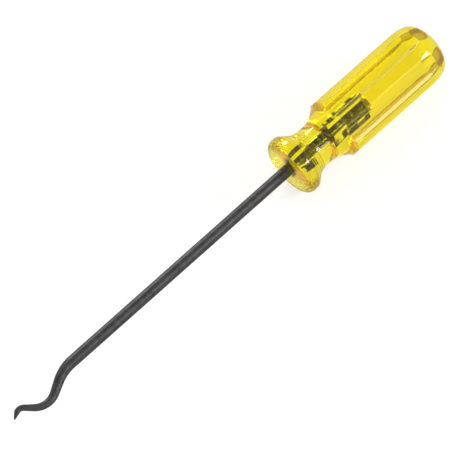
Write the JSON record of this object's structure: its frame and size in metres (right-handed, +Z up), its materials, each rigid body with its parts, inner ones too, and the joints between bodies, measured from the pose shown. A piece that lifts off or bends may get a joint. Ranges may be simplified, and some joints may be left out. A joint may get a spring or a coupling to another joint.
{
  "type": "o-ring pick",
  "caption": "Hooked O-ring and seal pick: black steel rod with an S-bent tapered point in a clear yellow fluted handle",
  "frame": {"origin": "on the table, midway along the tool's length, straight below the rod's axis", "axes": "+X along the tool from the hooked tip to the handle's rear end, +Y level across it, +Z up from the table"},
  "size_m": [0.2274, 0.0264, 0.0253],
  "materials": {
    "clear_yellow_plastic": "clear, polished",
    "black_steel": "black oxide, fine drawn"
  },
  "bodies": {
    "root": {"handle": "clear_yellow_plastic", "pick_rod": "black_steel"}
  },
  "joints": []
}
